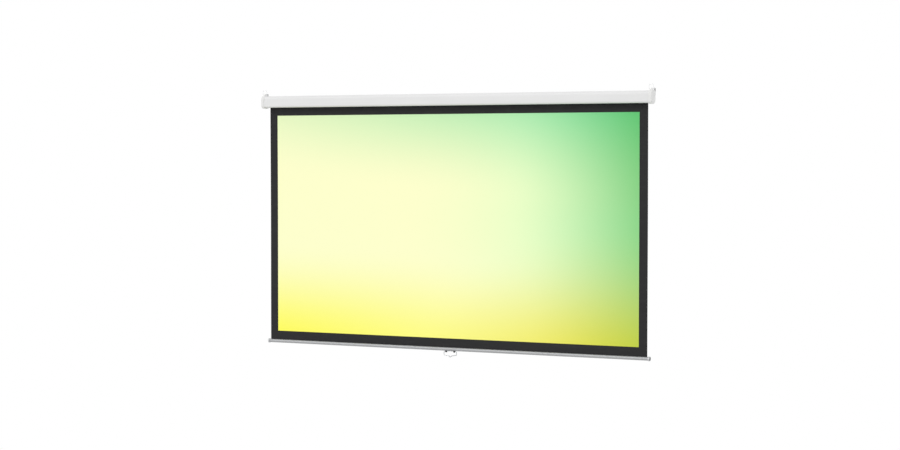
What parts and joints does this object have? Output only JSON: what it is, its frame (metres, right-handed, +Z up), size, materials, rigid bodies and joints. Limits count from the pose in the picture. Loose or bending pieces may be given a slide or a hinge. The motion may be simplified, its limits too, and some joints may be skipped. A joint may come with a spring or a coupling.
{
  "type": "manual projector screen",
  "caption": "Wall-hung spring-roller projector screen: white case with rounded end caps, black-bordered 16:9 sheet, round weight bar and a bent-wire pull bail.",
  "frame": {"origin": "centre of the case's flat back face", "axes": "+X along the width to the right end, where the spring motor is; +Y into the wall; +Z up"},
  "size_m": [2.4786, 0.0713, 1.5583],
  "materials": {
    "white_case": "satin white powder coat on an extruded profile",
    "white_plastic": "fine satin",
    "screen_vinyl": "matt projection vinyl with a black border, its picture area lit by a soft yellow-green picture",
    "silver_bar": "satin anodised",
    "grey_plastic": "satin",
    "dark_steel": "satin black",
    "bright_wire": "satin nickel plate",
    "zinc_steel": "bright zinc plate",
    "spring_steel": "oiled",
    "nylon": "satin",
    "black_plastic": "satin"
  },
  "bodies": {
    "case": {"case_shell": "white_case", "end_cap_left": "white_plastic", "end_cap_right": "white_plastic", "cap_screw_left_upper": "zinc_steel", "cap_screw_left_lower": "zinc_steel", "cap_screw_right_upper": "zinc_steel", "cap_screw_right_lower": "zinc_steel", "bracket_left": "zinc_steel", "bracket_right": "zinc_steel", "idle_bush": "nylon", "wall_tab_left": "dark_steel", "wall_tab_right": "dark_steel", "tab_screw_left": "zinc_steel", "tab_screw_right": "zinc_steel", "spindle": "zinc_steel", "torsion_spring": "spring_steel", "ratchet_wheel": "zinc_steel", "screen_sheet": "screen_vinyl"},
    "roller": {"roller_tube": "zinc_steel", "sheet_wraps": "screen_vinyl", "idle_plug": "black_plastic", "gudgeon_pin": "zinc_steel", "spring_end_plug": "black_plastic", "spring_anchor": "black_plastic", "pawl_pin_a": "zinc_steel", "pawl_pin_b": "zinc_steel"},
    "pawl_a": {"pawl_a": "zinc_steel"},
    "pawl_b": {"pawl_b": "zinc_steel"},
    "weight_bar": {"bar_tube": "silver_bar", "bar_cap_left": "grey_plastic", "bar_cap_right": "grey_plastic", "hem_rod": "zinc_steel", "bail_bracket": "dark_steel", "bracket_screw_left": "zinc_steel", "bracket_screw_right": "zinc_steel"},
    "bail": {"bail_handle": "bright_wire"},
    "loop_left": {"hanging_loop_left": "bright_wire"},
    "loop_right": {"hanging_loop_right": "bright_wire"}
  },
  "joints": [
    {"name": "screen_travel", "type": "slide", "parent": "case", "child": "weight_bar", "axis": [0, 0, 1], "range_m": [0, 1.385], "deforming": ["screen_sheet"]},
    {"name": "roller_spin", "type": "hinge", "parent": "case", "child": "roller", "pos_m": [0, -0.0387, 0], "axis": [1, 0, 0], "range_deg": [0, 3542]},
    {"name": "pawl_a_pivot", "type": "hinge", "parent": "roller", "child": "pawl_a", "pos_m": [1.2072, -0.0242, 0], "axis": [1, 0, 0], "range_deg": [-20, 34]},
    {"name": "pawl_b_pivot", "type": "hinge", "parent": "roller", "child": "pawl_b", "pos_m": [1.2072, -0.0532, 0], "axis": [1, 0, 0], "range_deg": [-20, 34]},
    {"name": "bail_pivot", "type": "hinge", "parent": "weight_bar", "child": "bail", "pos_m": [0, -0.01798, -1.4535], "axis": [1, 0, 0], "range_deg": [-100, 100]},
    {"name": "loop_left_pivot", "type": "hinge", "parent": "case", "child": "loop_left", "pos_m": [-1.225, -0.0387, 0.0429], "axis": [1, 0, 0], "range_deg": [-90, 90]},
    {"name": "loop_right_pivot", "type": "hinge", "parent": "case", "child": "loop_right", "pos_m": [1.225, -0.0387, 0.0429], "axis": [1, 0, 0], "range_deg": [-90, 90]}
  ],
  "couplings": [
    {"joint": "roller_spin", "follows": "screen_travel", "rad_per_m": 44.617}
  ]
}
